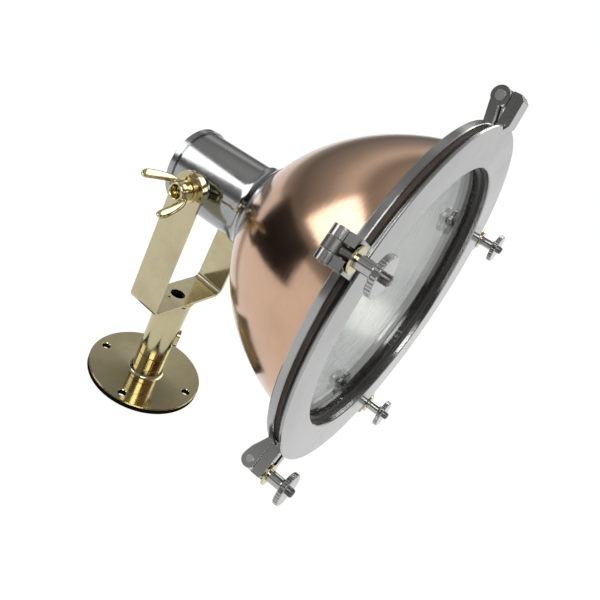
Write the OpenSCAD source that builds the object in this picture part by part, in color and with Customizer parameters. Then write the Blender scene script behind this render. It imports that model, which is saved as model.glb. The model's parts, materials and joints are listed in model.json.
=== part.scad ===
// Cargo lantern: a copper floodlight with a clamped glass door, tilting in a brass yoke on a swivel post.
// The origin is the centre of the base flange's mounting face. +Z runs up the post and +X is forward.

/* [Base flange] */
// Diameter of the round base flange
base_d = 146; // [120:1:180]
// Thickness of the base flange
base_t = 7.5; // [5:0.5:12]
// Diameter of the circle through the four mounting holes
base_pcd = 120; // [100:1:130]
// Diameter of each mounting hole
base_hole_d = 10; // [6:0.5:12]
// Turn of the hole pattern from straight ahead, in degrees
base_turn = 17.5; // [0:0.5:90]
// Diameter of the neck that stands on the flange
neck_d = 38; // [34:0.5:44]
// Height of the neck's top above the mounting face
neck_top = 38; // [30:1:48]
// Size of the fillet between neck and flange
neck_fillet = 5; // [2:0.5:8]
// Diameter of the spigot that the post turns on
spigot_d = 26; // [22:0.5:28]
// Length of the spigot above the neck
spigot_len = 46; // [40:1:50]
// Diameter of the wire way through flange, spigot and post
wire_way_d = 18; // [12:0.5:18]

/* [Post] */
// Diameter of the post at its foot
post_foot_d = 38; // [36:0.5:44]
// Diameter of the post under the yoke
post_top_d = 42; // [38:0.5:48]
// Height of the lock screw above the mounting face
lock_z = 70; // [66:0.5:74]
// Direction of the lock screw, in degrees from straight ahead
lock_turn = 35; // [0:1:90]
// Diameter of the lock screw
lock_d = 8; // [6:0.5:10]
// How far the lock screw's boss stands off the post
lock_boss_h = 4; // [3:0.5:8]

/* [Yoke] */
// Height of the tilt axis above the mounting face
pivot_h = 284; // [260:1:320]
// Drop from the tilt axis to the yoke's inner floor
yoke_drop = 152; // [120:1:155]
// Width of the yoke over its arms
yoke_w = 123; // [119:0.5:140]
// Width of the brass strap
strap_w = 40; // [34:0.5:46]
// Thickness of the brass strap
strap_t = 3.5; // [2.5:0.25:5]
// Outer radius of the strap's two bends
bend_r = 11; // [8:0.5:16]
// Diameter of the small earth screw hole beside the wire hole
earth_hole_d = 3.2; // [2:0.1:5]
// Distance of the earth screw hole from the post's axis
earth_hole_y = 15; // [13:0.5:24]

/* [Tilt pivot] */
// Tilt of the lamp above level in the resting pose, in degrees
rest_tilt = 3.8; // [-20:0.1:45]
// Diameter of the pivot studs
stud_d = 12; // [10:0.5:14]
// How far the right stud stands out past the yoke
stud_out = 10; // [8:0.5:16]
// Diameter of the washers on the studs
pivot_washer_d = 27; // [24:0.5:32]
// Thickness of the washers on the studs
pivot_washer_t = 1.8; // [1:0.1:2.5]
// Length of the wing nut's hub
wing_hub_len = 17; // [14:0.5:22]
// Diameter of the wing nut's hub
wing_hub_d = 22; // [20:0.5:26]
// Distance from one wing tip's centre to the axis
wing_reach = 20.5; // [16:0.5:26]
// How far the wing tips stand past the yoke
wing_rise = 57.5; // [50:0.5:64]
// Thickness of a wing
wing_t = 5; // [4:0.5:8]
// Diameter of the thick discs between the can's bosses and the arms
pivot_disc_d = 38; // [30:0.5:40]
// Thickness of the thick discs
pivot_disc_t = 5.5; // [3:0.25:7]
// Height of the hexagon nut on the left stud
hex_nut_t = 10; // [6:0.5:12]
// Width of the hexagon nut across its flats
hex_nut_w = 19; // [18:0.5:22]

/* [Rear can] */
// Diameter of the rear can
can_d = 86; // [80:0.5:92]
// Wall of the rear can
can_wall = 3; // [2.5:0.25:4]
// Distance from the tilt axis to the back of the cover
can_back = 46; // [42:0.5:60]
// Width of the rim of the screwed rear cover
cover_rim = 8; // [6:0.5:12]
// How far the cover's rim stands off the can
cover_step = 2; // [1:0.25:4]
// Diameter of the pivot bosses on the can
boss_d = 26; // [24:0.5:32]

/* [Bowl] */
// Diameter of the copper bowl at its mouth
bowl_d = 310; // [290:1:330]
// Thickness of the copper sheet
bowl_t = 1.2; // [0.8:0.1:2]
// Distance from the tilt axis to the bowl's theoretical apex
bowl_apex = 55; // [52:0.5:60]
// First exponent of the bowl's curve: a smaller one makes a more pointed bowl
bowl_curve_a = 1.55; // [1.3:0.01:1.7]
// Second exponent of the bowl's curve: a smaller one makes a fuller bowl
bowl_curve_b = 0.49; // [0.45:0.01:0.55]
// Diameter of the collar's foot on the bowl
collar_d = 120; // [112:1:130]
// Clear gap between the bowl and the reflector at the mouth
reflector_gap = 4.5; // [3:0.5:8]

/* [Rings and door] */
// Distance from the tilt axis to the door's front face
front_x = 238; // [230:1:260]
// Outer diameter of the door ring
door_d = 370; // [360:1:390]
// Diameter of the door's glass opening
opening_d = 289; // [270:1:292]
// Thickness of the door ring
door_t = 8; // [6:0.5:10]
// Thickness of the gasket between the rings
gasket_t = 3.5; // [2:0.25:5]
// Thickness of the rear ring
rear_ring_t = 8; // [6:0.5:10]
// How much smaller the rear ring's radius is than the door's
ring_step = 4; // [2:0.5:6]
// Thickness of the glass lens
lens_t = 4.5; // [3:0.25:6]
// Depth of the door's front lip in front of the lens seal
lip_t = 5; // [4:0.5:6]
// Turn of both rings about the lamp's axis, in degrees
ring_turn = 7; // [-10:0.5:15]

/* [Clamps and hinge] */
// Distance from the door's edge out to the swing bolts
bolt_out = 20; // [18:0.5:26]
// Diameter of the swing bolts
bolt_d = 8; // [6:0.5:9]
// Distance from the door's face back to the bolts' hinge pins
pin_back = 20; // [19:0.5:22]
// Diameter of the bolts' hinge pins
pin_d = 6; // [5:0.5:7]
// Width of the slot between a pair of ears
ear_slot = 10.4; // [9.6:0.2:13]
// Thickness of one ear
ear_t = 8.5; // [7:0.5:10]
// How far the front ears reach from the hinge pin, which is their crown's radius
ear_reach = 18; // [17:0.25:18.5]
// Diameter of the clamp washers
washer_d = 22; // [18:0.5:26]
// Thickness of the clamp washers
washer_t = 1.8; // [1:0.1:2.5]
// Diameter of the thumb nut's knurled flange
nut_flange_d = 33.5; // [28:0.5:38]
// Thickness of the thumb nut's knurled flange
nut_flange_t = 5.5; // [4:0.5:8]
// Diameter of the thumb nut's sleeve
nut_sleeve_d = 11.6; // [11:0.2:14]
// Overall length of the thumb nut
nut_len = 22; // [18:0.5:28]
// How far the bolt's end stands out of the nut
bolt_end = 5; // [2:0.5:10]
// Distance from the door's edge out to the hinge pin
hinge_out = 19; // [17:0.5:24]
// Distance from the door's face back to the hinge pin
hinge_back = 17; // [16:0.5:18]
// Diameter of the door's hinge pin
hinge_pin_d = 7; // [5:0.5:8]
// Radius of the hinge knuckles
knuckle_r = 8.5; // [8:0.25:9.5]

/* [Inside] */
// Diameter of the lamp holder's ceramic body
holder_d = 58; // [52:1:62]
// Length of the lamp holder's ceramic body
holder_len = 50; // [46:1:54]
// Diameter of the lamp's screw cap
cap_d = 39; // [30:0.5:40]
// Diameter of the lamp's glass
lamp_d = 80; // [60:1:90]
// Distance from the tilt axis to the front of the lamp's glass
lamp_front = 158; // [140:1:175]
// Distance of the wire gland behind the tilt axis
gland_back = 24; // [20:0.5:26]
// Diameter of the wire gland's thread
gland_d = 16; // [12:0.5:18]
// Turn of the wire gland from straight down toward the left, in degrees
gland_turn = 25; // [0:1:40]

/* [Hidden] */

$fn = 72;
eps = 0.01;
// Running gap at a turning fit, on the radius
run_gap = 0.06;
// Gap between curved faces of pieces that move past each other
move_gap = 0.3;
// Gap between flat faces that turn on each other
face_gap = 0.1;
// Gap between the bowl's sheet and the ring that clamps it
seat_gap = 0.15;

ALUMINIUM = "#a5a8a5";
COPPER = "#b5835f";
BRASS = "#b8a566";
STEEL = "#6d6e70";
RUBBER = "#2b2522";
CERAMIC = "#e8e4da";
GLASS = "#c8d4d6";

// Post and yoke
post_foot = neck_top + move_gap;
yoke_floor = pivot_h - yoke_drop;
yoke_under = yoke_floor - strap_t;
post_bore_r = spigot_d / 2 + run_gap;
spigot_top = neck_top + spigot_len;
lock_groove_depth = 2;
lock_groove_h = lock_d + 1;
arm_out = yoke_w / 2;
arm_in = arm_out - strap_t;

// Tilt pivot
boss_end = arm_in - pivot_disc_t - 2 * face_gap;
hub_seat = arm_out + pivot_washer_t + 2 * face_gap;
stud_end = arm_out + stud_out;
left_stud_end = hub_seat + hex_nut_t + 2.5;

// Rear can, measured along the lamp's axis from the tilt axis
can_r = can_d / 2;
can_in_r = can_r - can_wall;
cover_t = 3;
cover_gasket_t = 1.5;
can_rear = -can_back + cover_t + cover_gasket_t;
can_front = 60;
ledge_w = 4;
ledge_x = 4;

// Bowl
bowl_r = bowl_d / 2;
back_x = front_x - door_t - gasket_t - rear_ring_t;
reflector_t = 1;
bowl_mouth = back_x - reflector_t;
bowl_hole_r = 37;

// Rings
door_back = front_x - door_t;
rear_front = door_back - gasket_t;
door_r = door_d / 2;
opening_r = opening_d / 2;
rear_ring_r = door_r - ring_step;
door_side_r = rear_ring_r - 3;
seat_r = opening_r + 5;
skirt_r = seat_r + 7;
rear_in_r = skirt_r + 1.5;
flange_r = rear_ring_r - 9;
lip_back = front_x - lip_t;
skirt_end = back_x + 0.7;
lens_back = skirt_end + 2.8;
lens_front = lens_back + lens_t;
lens_r = seat_r - 1.2;
rivet_r = (rear_in_r + flange_r) / 2;
rivet_count = 10;

// Clamps, in a frame with X outward from the lamp's axis, Y across and Z forward
clamp_count = 4;
clamp_step = 360 / (clamp_count + 1);
pin_x = front_x - pin_back;
bolt_r = door_r + bolt_out;
hinge_r = door_r + hinge_out;
ear_part = rear_front - 1.5;
ear_gap = 0.6;
ear_out = bolt_r + 8;
ear_root = door_side_r - 3;
ear_y = ear_slot / 2 + ear_t / 2;
ear_span = ear_slot + 2 * ear_t;
eye_r = 8;
eye_w = ear_slot - 1;
washer_seat = pin_x + ear_reach + move_gap;
nut_seat = washer_seat + washer_t + face_gap;
nut_front = nut_seat + nut_len;
hinge_x = front_x - hinge_back;
hinge_plate_front = front_x + 3;
tongue_w = ear_slot - 1;

// Inside
holder_x = ledge_x;
plate_t = 2;
block_h = 11;
shell_r = cap_d / 2 + 0.3;
cap_start = holder_x + 9;
cap_len = 38;
cap_end = cap_start + cap_len;
lamp_r = lamp_d / 2;

// Places the children in the lamp's frame: +Z along the lamp's axis, -X up, the origin on the tilt axis
module lamp_frame() {
    translate([0, 0, pivot_h])
        rotate([0, 90 - rest_tilt, 0])
            children();
}

// Turns the children about the lamp's axis: a is the angle from the top toward +Y, and +X points outward
module at_angle(a) {
    rotate([0, 0, 180 - a])
        children();
}

// Repeats the children at each clamp
module at_clamps() {
    for (k = [1 : clamp_count])
        at_clamp(k)
            children();
}

// Places the children at clamp number k
module at_clamp(k) {
    lamp_frame()
        at_angle(ring_turn + k * clamp_step)
            children();
}

// A plate of thickness w across Y from an outline in X and Z
module across(w, y = 0) {
    translate([0, y, 0])
        rotate([90, 0, 0])
            linear_extrude(height = w, center = true)
                children();
}

// A tube from z0 to z1
module tube(r_out, r_in, z0, z1) {
    translate([0, 0, z0])
        difference() {
            cylinder(r = r_out, h = z1 - z0);
            translate([0, 0, -1])
                cylinder(r = r_in, h = z1 - z0 + 2);
        }
}

// Radius of the bowl's curve at x, for a mouth radius and an apex
function bowl_curve(x, r, apex) =
    r * pow(1 - pow(1 - (x - apex) / (bowl_mouth - apex), bowl_curve_a), bowl_curve_b);

// Place on the lamp's axis where the bowl's curve has a given radius
function bowl_place(radius, r, apex) =
    apex + (bowl_mouth - apex) * (1 - pow(1 - pow(radius / r, 1 / bowl_curve_b), 1 / bowl_curve_a));

// Points along the bowl's curve from one radius to another, as [radius, x]
function bowl_points(from_r, to_r, r, apex, count) =
    [for (i = [0 : count])
        let (radius = from_r + (to_r - from_r) * i / count)
        [radius, bowl_place(radius, r, apex)]];

// The list in reverse order
function reversed(list) = [for (i = [len(list) - 1 : -1 : 0]) list[i]];

// Places the children at each mounting hole of the base
module at_base_holes() {
    for (k = [0 : 3])
        rotate([0, 0, base_turn + 90 * k])
            translate([base_pcd / 2, 0, 0])
                children();
}

module base_flange() {
    color(BRASS)
        difference() {
            rotate_extrude($fn = 144)
                difference() {
                    union() {
                        square([base_d / 2 - 1, base_t]);
                        square([base_d / 2, base_t - 1]);
                        square([neck_d / 2 + neck_fillet, base_t + neck_fillet]);
                        square([neck_d / 2, neck_top]);
                        square([spigot_d / 2, spigot_top]);
                    }
                    translate([neck_d / 2 + neck_fillet, base_t + neck_fillet])
                        circle(r = neck_fillet, $fn = 48);
                    translate([0, -1])
                        square([wire_way_d / 2, spigot_top + 2]);
                    translate([spigot_d / 2 - lock_groove_depth, lock_z - lock_groove_h / 2])
                        square([lock_groove_depth + 1, lock_groove_h]);
                    translate([neck_d / 2 - 0.6, base_t + neck_fillet + 6])
                        square([1, 1.2]);
                }
            at_base_holes() {
                translate([0, 0, -1])
                    cylinder(d = base_hole_d, h = base_t + 2);
                translate([0, 0, base_t - 0.8])
                    cylinder(d1 = base_hole_d, d2 = base_hole_d + 2, h = 1 + eps);
            }
        }
}

// Places the children at the lock screw, with +Z outward
module at_lock() {
    rotate([0, 0, lock_turn])
        translate([0, 0, lock_z])
            rotate([0, 90, 0])
                children();
}

module swivel_post() {
    foot_r = post_foot_d / 2;
    top_r = post_top_d / 2;
    color(BRASS)
        difference() {
            union() {
                rotate_extrude($fn = 96)
                    polygon([
                        [0, post_foot],
                        [foot_r - 0.8, post_foot],
                        [foot_r, post_foot + 0.8],
                        [top_r - 0.5, yoke_under - 12],
                        [top_r, yoke_under - 5],
                        [top_r + 1, yoke_under - 1.5],
                        [top_r + 1.6, yoke_under],
                        [0, yoke_under]
                    ]);
                at_lock()
                    for (s = [-4, 0, 4])
                        translate([s, 0, 0])
                            cylinder(d = lock_d + 7, h = post_foot_d / 2 + lock_boss_h, $fn = 48);
            }
            translate([0, 0, post_foot - 1])
                cylinder(r = post_bore_r, h = spigot_top - post_foot + 2, $fn = 96);
            cylinder(d = wire_way_d, h = yoke_under + 1);
            at_lock()
                translate([0, 0, 5])
                    cylinder(d = lock_d, h = 40, $fn = 48);
        }
}

module lock_screw() {
    tip = spigot_d / 2 - lock_groove_depth + move_gap;
    slot_w = 1.6;
    color(STEEL)
        at_lock()
            difference() {
                union() {
                    translate([0, 0, tip])
                        cylinder(d1 = lock_d - 3, d2 = lock_d - 1, h = 2, $fn = 48);
                    translate([0, 0, tip + 2])
                        cylinder(d = lock_d, h = post_foot_d / 2 + lock_boss_h - tip - 1.5, $fn = 48);
                }
                translate([-lock_d, -slot_w / 2, post_foot_d / 2 + lock_boss_h - 1])
                    cube([2 * lock_d, slot_w, 5]);
            }
}

module yoke() {
    color(BRASS)
        difference() {
            union() {
                for (s = [-1, 1])
                    translate([0, s * (arm_out - strap_t / 2), 0])
                        rotate([90, 0, 0])
                            linear_extrude(height = strap_t, center = true)
                                translate([0, pivot_h])
                                    union() {
                                        circle(d = strap_w, $fn = 96);
                                        translate([-strap_w / 2, -(pivot_h - yoke_under - bend_r)])
                                            square([strap_w, pivot_h - yoke_under - bend_r]);
                                    }
                translate([-strap_w / 2, -(arm_out - bend_r), yoke_under])
                    cube([strap_w, 2 * (arm_out - bend_r), strap_t]);
                for (s = [0, 1])
                    mirror([0, s, 0])
                        translate([-strap_w / 2, arm_out - bend_r, yoke_under + bend_r])
                            rotate([90, 0, 90])
                                linear_extrude(height = strap_w)
                                    intersection() {
                                        difference() {
                                            circle(r = bend_r, $fn = 96);
                                            circle(r = bend_r - strap_t, $fn = 96);
                                        }
                                        translate([0, -bend_r])
                                            square([bend_r, bend_r]);
                                    }
            }
            translate([0, 0, yoke_under - 1])
                cylinder(d = wire_way_d, h = strap_t + 2);
            translate([0, -earth_hole_y, yoke_under - 1])
                cylinder(d = earth_hole_d, h = strap_t + 2, $fn = 32);
            translate([0, 0, pivot_h])
                rotate([90, 0, 0])
                    cylinder(r = stud_d / 2 + run_gap, h = yoke_w + 10, center = true);
        }
}

// Repeats the children on both sides of the lamp, with +Z outward along the tilt axis
module at_pivots() {
    for (s = [-1, 1])
        at_pivot(s)
            children();
}

// Places the children on one side of the lamp, with +Z outward along the tilt axis
module at_pivot(s) {
    translate([0, 0, pivot_h])
        rotate([-90 * s, 0, 0])
            children();
}

module rear_can() {
    color(ALUMINIUM)
        difference() {
            union() {
                lamp_frame()
                    translate([0, 0, can_rear])
                        cylinder(r = can_r, h = can_front - can_rear, $fn = 144);
                at_pivots()
                    difference() {
                        union() {
                            cylinder(d = boss_d, h = boss_end);
                            cylinder(r1 = boss_d / 2 + 6, r2 = boss_d / 2, h = can_r + 5);
                        }
                        translate([0, 0, -1])
                            cylinder(r = 20, h = 20);
                    }
                at_gland()
                    cylinder(d = gland_d + 8, h = can_r + 2);
            }
            at_gland()
                cylinder(d = gland_d, h = 80);
            lamp_frame() {
                translate([0, 0, can_rear - 1])
                    cylinder(r = can_in_r, h = ledge_x - can_rear + 1, $fn = 144);
                translate([0, 0, can_rear])
                    cylinder(r = can_in_r - ledge_w, h = can_front - can_rear + 1, $fn = 144);
                at_plate_screws()
                    translate([0, 0, ledge_x - 1])
                        cylinder(d = 3, h = 10, $fn = 24);
            }
            at_pivots()
                translate([0, 0, can_r - 2])
                    cylinder(d = stud_d, h = 40);
        }
}

module rear_cover() {
    color(ALUMINIUM)
        lamp_frame()
            translate([0, 0, -can_back])
                rotate_extrude($fn = 144)
                    difference() {
                        polygon([
                            [0, 0],
                            [can_r + cover_step - 1.5, 0],
                            [can_r + cover_step, 1.5],
                            [can_r + cover_step, cover_rim],
                            [0, cover_rim]
                        ]);
                        translate([-1, cover_t])
                            square([can_r + 1, cover_rim]);
                        translate([-1, -1])
                            square([can_r - 12, 1.8]);
                    }
}

module cover_gasket() {
    color(RUBBER)
        lamp_frame()
            tube(can_r - 0.2, can_in_r - 2, -can_back + cover_t, can_rear);
}

// A pivot stud that ends at a given distance from the lamp's axis
module pivot_stud(end) {
    translate([0, 0, can_r - 2]) {
        cylinder(d = stud_d, h = end - can_r + 1);
        translate([0, 0, end - can_r + 1])
            cylinder(d1 = stud_d, d2 = stud_d - 2, h = 1);
    }
}

module pivot_studs() {
    color(BRASS)
        union() {
            at_pivot(-1)
                pivot_stud(stud_end);
            at_pivot(1)
                pivot_stud(left_stud_end);
        }
}

module pivot_discs() {
    color(BRASS)
        at_pivots()
            tube(pivot_disc_d / 2, stud_d / 2 + 0.2, boss_end + face_gap, boss_end + face_gap + pivot_disc_t);
}

module outer_washers() {
    color(BRASS)
        at_pivots()
            tube(pivot_washer_d / 2, stud_d / 2 + 0.2, arm_out + face_gap, arm_out + face_gap + pivot_washer_t);
}

// A wing nut with its seat at z = 0 and its wings along X
module wing_nut() {
    wing_r = 6.5;
    tip_z = wing_rise - (hub_seat - arm_out);
    difference() {
        union() {
            cylinder(d1 = wing_hub_d, d2 = wing_hub_d - 3, h = wing_hub_len);
            for (s = [-1, 1])
                hull() {
                    translate([s * (wing_hub_d / 2 - 5), 0, wing_hub_len / 2])
                        rotate([90, 0, 0])
                            cylinder(r = wing_r - 1, h = wing_t + 2, center = true, $fn = 32);
                    translate([s * wing_reach, 0, tip_z - wing_r])
                        rotate([90, 0, 0])
                            cylinder(r = wing_r, h = wing_t - 1, center = true, $fn = 32);
                }
        }
        translate([0, 0, -1])
            cylinder(r = stud_d / 2 + run_gap, h = wing_hub_len + 40);
    }
}

module wing_nut_right() {
    color(BRASS)
        at_pivot(-1)
            translate([0, 0, hub_seat])
                rotate([0, 0, -37])
                    wing_nut();
}

module hex_nut_left() {
    color(BRASS)
        at_pivot(1)
            translate([0, 0, hub_seat])
                difference() {
                    cylinder(d = hex_nut_w / cos(30), h = hex_nut_t, $fn = 6);
                    translate([0, 0, -1])
                        cylinder(d = stud_d, h = hex_nut_t + 2);
                }
}

// Places the children at the wire gland under the can, with +Z outward
module at_gland() {
    lamp_frame()
        at_angle(180 - gland_turn)
            translate([0, 0, -gland_back])
                rotate([0, 90, 0])
                    children();
}

module gland_body() {
    seat = can_r + 2;
    color(BRASS)
        at_gland()
            difference() {
                union() {
                    translate([0, 0, can_in_r - 2])
                        cylinder(d = gland_d, h = seat - can_in_r + 2);
                    translate([0, 0, seat])
                        cylinder(d = gland_d + 6, h = 4, $fn = 6);
                    translate([0, 0, seat + 4])
                        cylinder(d = gland_d, h = 4);
                }
                translate([0, 0, can_in_r - 3])
                    cylinder(d = gland_d - 6, h = 40);
            }
}

module gland_seal() {
    seat = can_r + 2;
    color(RUBBER)
        at_gland()
            tube(gland_d / 2, gland_d / 2 - 4, seat + 8, seat + 10);
}

module gland_nut() {
    seat = can_r + 2;
    color(BRASS)
        at_gland()
            difference() {
                translate([0, 0, seat + 4.5])
                    cylinder(d = gland_d + 5, h = 7.5, $fn = 6);
                translate([0, 0, seat + 4])
                    cylinder(d = gland_d, h = 6);
                translate([0, 0, seat])
                    cylinder(d = gland_d - 6, h = 30);
            }
}

module collar() {
    foot_r = collar_d / 2;
    edge_x = bowl_place(foot_r, bowl_r, bowl_apex);
    neck_r = can_r + 3;
    seat = bowl_points(bowl_hole_r, foot_r, bowl_r, bowl_apex, 12);
    color(ALUMINIUM)
        difference() {
            lamp_frame()
                rotate_extrude($fn = 144)
                    polygon(concat(
                        [[can_r, can_front - 14], [neck_r, can_front - 14], [neck_r, can_front - 10]],
                        [for (i = [0 : 8])
                            let (t = i / 8)
                            [neck_r + (foot_r - neck_r) * pow(t, 1.6),
                             can_front - 10 + (edge_x - 2.5 - can_front + 10) * pow(t, 0.75)]],
                        [[foot_r, edge_x]],
                        reversed(seat),
                        [[bowl_hole_r, can_front], [can_r, can_front]]
                    ));
            at_collar_screws()
                translate([0, 0, bowl_apex - 10])
                    cylinder(d = 4, h = 40, $fn = 24);
        }
}

// Places the children at each screw through the bowl's apex, along the lamp's axis
module at_collar_screws() {
    for (k = [0 : 5])
        lamp_frame()
            at_angle(30 + 60 * k)
                translate([bowl_hole_r + 5, 0, 0])
                    children();
}

module copper_bowl() {
    outer = bowl_points(bowl_hole_r, bowl_r, bowl_r, bowl_apex, 34);
    inner = bowl_points(bowl_hole_r, bowl_r - bowl_t, bowl_r - bowl_t, bowl_apex + bowl_t, 34);
    color(COPPER)
        difference() {
            lamp_frame()
                rotate_extrude($fn = 180)
                    polygon(concat(
                        inner,
                        [[bowl_r - bowl_t, bowl_mouth], [flange_r, bowl_mouth], [flange_r, bowl_mouth - bowl_t]],
                        [[bowl_r, bowl_mouth - bowl_t]],
                        reversed([for (p = outer) if (p[1] < bowl_mouth - bowl_t) p])
                    ));
            at_collar_screws()
                translate([0, 0, bowl_apex - 10])
                    cylinder(d = 4.4, h = 40, $fn = 24);
            at_rivets()
                cylinder(d = 4, h = 60, center = true, $fn = 24);
        }
}

module bowl_clamp_ring() {
    r0 = bowl_hole_r;
    r1 = bowl_hole_r + 12;
    seat = bowl_points(r0, r1, bowl_r - bowl_t, bowl_apex + bowl_t + seat_gap, 8);
    front = seat[len(seat) - 1][1] + 3;
    color(ALUMINIUM)
        difference() {
            lamp_frame()
                rotate_extrude($fn = 144)
                    polygon(concat(seat, [[r1, front], [r0, front]]));
            at_collar_screws()
                translate([0, 0, bowl_apex - 10])
                    cylinder(d = 4.4, h = 40, $fn = 24);
        }
}

module collar_screws() {
    front = bowl_place(bowl_hole_r + 12, bowl_r - bowl_t, bowl_apex + bowl_t + seat_gap) + 3;
    color(STEEL)
        at_collar_screws()
            union() {
                translate([0, 0, can_front])
                    cylinder(d = 4, h = front - can_front, $fn = 24);
                translate([0, 0, front])
                    cylinder(d = 7, h = 2.4, $fn = 24);
            }
}

module reflector() {
    mouth_r = bowl_r - reflector_gap;
    apex = bowl_apex + 6;
    hole_r = bowl_hole_r + 16;
    outer = bowl_points(hole_r, mouth_r, mouth_r, apex, 30);
    inner = bowl_points(hole_r, mouth_r - reflector_t, mouth_r - reflector_t, apex + reflector_t, 30);
    color("#b9b6ae")
        difference() {
            lamp_frame()
                rotate_extrude($fn = 180)
                    polygon(concat(
                        inner,
                        [[mouth_r - reflector_t, back_x], [flange_r, back_x], [flange_r, bowl_mouth]],
                        reversed(outer)
                    ));
            at_rivets()
                cylinder(d = 4, h = 60, center = true, $fn = 24);
        }
}

// Places the children at each rivet of the rear ring, with z = 0 at the ring's back face
module at_rivets() {
    for (k = [0 : rivet_count - 1])
        lamp_frame()
            at_angle(ring_turn + 360 / rivet_count * (k + 0.5))
                translate([rivet_r, 0, back_x])
                    children();
}

module ring_rivets() {
    color(STEEL)
        at_rivets()
            union() {
                translate([0, 0, -reflector_t - bowl_t])
                    cylinder(d = 4, h = reflector_t + bowl_t + rear_ring_t - 0.5, $fn = 24);
                translate([0, 0, -reflector_t - bowl_t - 1.8])
                    cylinder(d1 = 5, d2 = 8, h = 1.8, $fn = 24);
            }
}

// Outline of a rear ear in X and Z: a rounded end about the pin and a root in the ring
module rear_ear_outline() {
    difference() {
        union() {
            translate([bolt_r, pin_x])
                circle(r = ear_out - bolt_r, $fn = 64);
            polygon([
                [ear_root, back_x],
                [rear_ring_r, back_x],
                [bolt_r - 10, pin_x - 6],
                [bolt_r - 2, pin_x - (ear_out - bolt_r) + 0.2],
                [bolt_r, ear_part],
                [ear_root, ear_part]
            ]);
        }
        translate([ear_root - 5, ear_part - ear_gap / 2])
            square([60, 30]);
        translate([bolt_r, pin_x])
            circle(d = pin_d, $fn = 48);
    }
}

// Outline of a hinge ear on the rear ring in X and Z
module hinge_ear_outline() {
    difference() {
        union() {
            translate([hinge_r, hinge_x])
                circle(r = knuckle_r, $fn = 64);
            polygon([
                [ear_root, back_x],
                [rear_ring_r, back_x],
                [hinge_r - 6, hinge_x - knuckle_r + 2],
                [hinge_r, hinge_x],
                [rear_ring_r + 4, rear_front - 0.5],
                [ear_root, rear_front]
            ]);
        }
        translate([hinge_r, hinge_x])
            circle(d = hinge_pin_d, $fn = 48);
    }
}

module rear_ring() {
    color(ALUMINIUM)
        union() {
            difference() {
                lamp_frame()
                    rotate_extrude($fn = 180)
                        polygon([
                            [rear_in_r, back_x],
                            [rear_ring_r - 1.2, back_x],
                            [rear_ring_r, back_x + 1.2],
                            [rear_ring_r, rear_front - 0.8],
                            [rear_ring_r - 0.8, rear_front],
                            [rear_in_r, rear_front]
                        ]);
                at_rivets()
                    translate([0, 0, -5])
                        cylinder(d = 4, h = 40, $fn = 24);
            }
            at_clamps()
                for (s = [-1, 1])
                    across(ear_t, s * ear_y)
                        rear_ear_outline();
            lamp_frame()
                at_angle(ring_turn)
                    for (s = [-1, 1])
                        across(ear_t, s * ear_y)
                            hinge_ear_outline();
        }
}

module ring_gasket() {
    color(RUBBER)
        lamp_frame()
            rotate_extrude($fn = 180)
                difference() {
                    translate([rear_in_r + 1, rear_front])
                        square([door_side_r - 1 - rear_in_r, gasket_t]);
                    translate([door_side_r, rear_front + gasket_t / 2])
                        circle(d = gasket_t * 0.4, $fn = 24);
                }
}

// Outline of a front ear in X and Z: its front is crowned about the pin, so that the washer swings off it
module front_ear_outline() {
    intersection() {
        union() {
            translate([ear_root, door_back])
                square([ear_out - ear_root, door_t]);
            translate([rear_ring_r + 1, ear_part + ear_gap / 2])
                square([ear_out - rear_ring_r - 1, front_x - ear_part]);
        }
        union() {
            translate([bolt_r, pin_x])
                circle(r = ear_reach, $fn = 128);
            translate([ear_root, pin_x - 20])
                square([bolt_r - ear_root, ear_reach + 20]);
        }
    }
}

// Outline of the door's hinge tongue in X and Z, from the front plate back to the pin
module tongue_outline() {
    difference() {
        union() {
            translate([hinge_r, hinge_x])
                circle(r = knuckle_r - 0.5, $fn = 64);
            polygon([
                [hinge_r - 7, hinge_x],
                [hinge_r - 7, hinge_plate_front - 4],
                [hinge_r + knuckle_r - 2, hinge_plate_front - 4],
                [hinge_r + knuckle_r - 0.5, hinge_x]
            ]);
        }
        translate([hinge_r, hinge_x])
            circle(r = hinge_pin_d / 2 + run_gap, $fn = 48);
    }
}

// Outline of the door's hinge plate in X and Z, which stands on the ring's edge in front of the knuckles
module hinge_plate_outline() {
    plate_back = hinge_x + knuckle_r + 0.6;
    polygon([
        [ear_root, door_back],
        [door_side_r + 2, door_back],
        [door_side_r + 6, plate_back],
        [hinge_r + knuckle_r - 1, plate_back],
        [hinge_r + knuckle_r - 1, hinge_plate_front - 4],
        [hinge_r + knuckle_r - 5, hinge_plate_front],
        [door_r, hinge_plate_front],
        [door_r - 5, front_x],
        [ear_root, front_x]
    ]);
}

module door_ring() {
    color(ALUMINIUM)
        union() {
            lamp_frame()
                rotate_extrude($fn = 180)
                    polygon([
                        [opening_r + 1, front_x],
                        [opening_r, front_x - 1],
                        [opening_r, lip_back],
                        [seat_r, lip_back],
                        [seat_r, skirt_end + 1.8],
                        [seat_r + 1.5, skirt_end + 1.8],
                        [seat_r + 1.5, skirt_end + 0.6],
                        [seat_r, skirt_end + 0.6],
                        [seat_r, skirt_end],
                        [skirt_r, skirt_end],
                        [skirt_r, door_back],
                        [door_side_r, door_back],
                        [door_side_r + 1.5, door_back + 0.6],
                        [door_r - 1.2, front_x - 3],
                        [door_r, front_x - 1.8],
                        [door_r, front_x - 1],
                        [door_r - 1, front_x]
                    ]);
            at_clamps()
                for (s = [-1, 1])
                    across(ear_t, s * ear_y)
                        front_ear_outline();
            lamp_frame()
                at_angle(ring_turn) {
                    across(tongue_w)
                        tongue_outline();
                    across(ear_span - 1)
                        hinge_plate_outline();
                }
        }
}

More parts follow.
